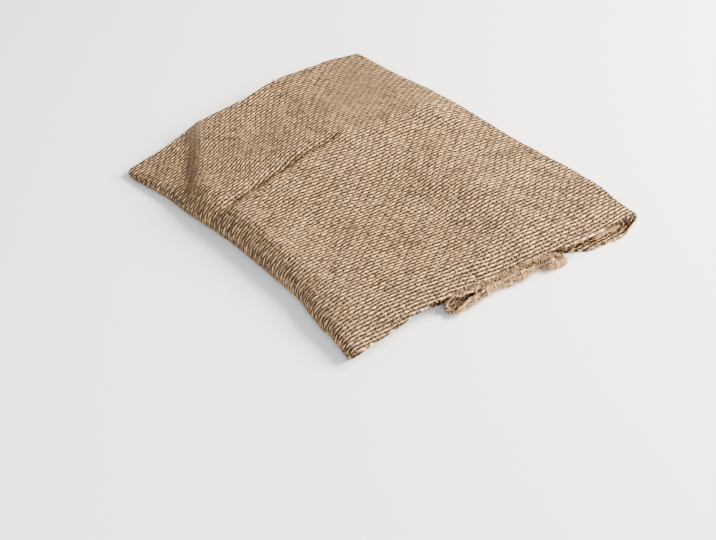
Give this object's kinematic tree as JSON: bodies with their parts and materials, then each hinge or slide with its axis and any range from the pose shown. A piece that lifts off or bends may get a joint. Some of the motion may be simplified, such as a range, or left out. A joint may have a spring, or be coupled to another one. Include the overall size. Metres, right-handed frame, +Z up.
{
  "type": "folded jute sack",
  "caption": "Coarse woven jute sack folded in half across and in thirds along into a loose flat pack, its rough sewn side showing at the front edge.",
  "frame": {"origin": "bottom centre of the folded pack's box, on the surface it lies on", "axes": "+X along the front edge from the front corner to the right tip, +Y from the front edge to the half fold at the back, +Z up"},
  "size_m": [0.2348, 0.2866, 0.0216],
  "materials": {
    "jute_cloth": "coarse plain weave of jute yarn",
    "jute_seam": "rolled raw edge oversewn with jute twine"
  },
  "bodies": {
    "root": {"sack_cloth": "jute_cloth", "side_seam": "jute_seam"}
  },
  "joints": []
}
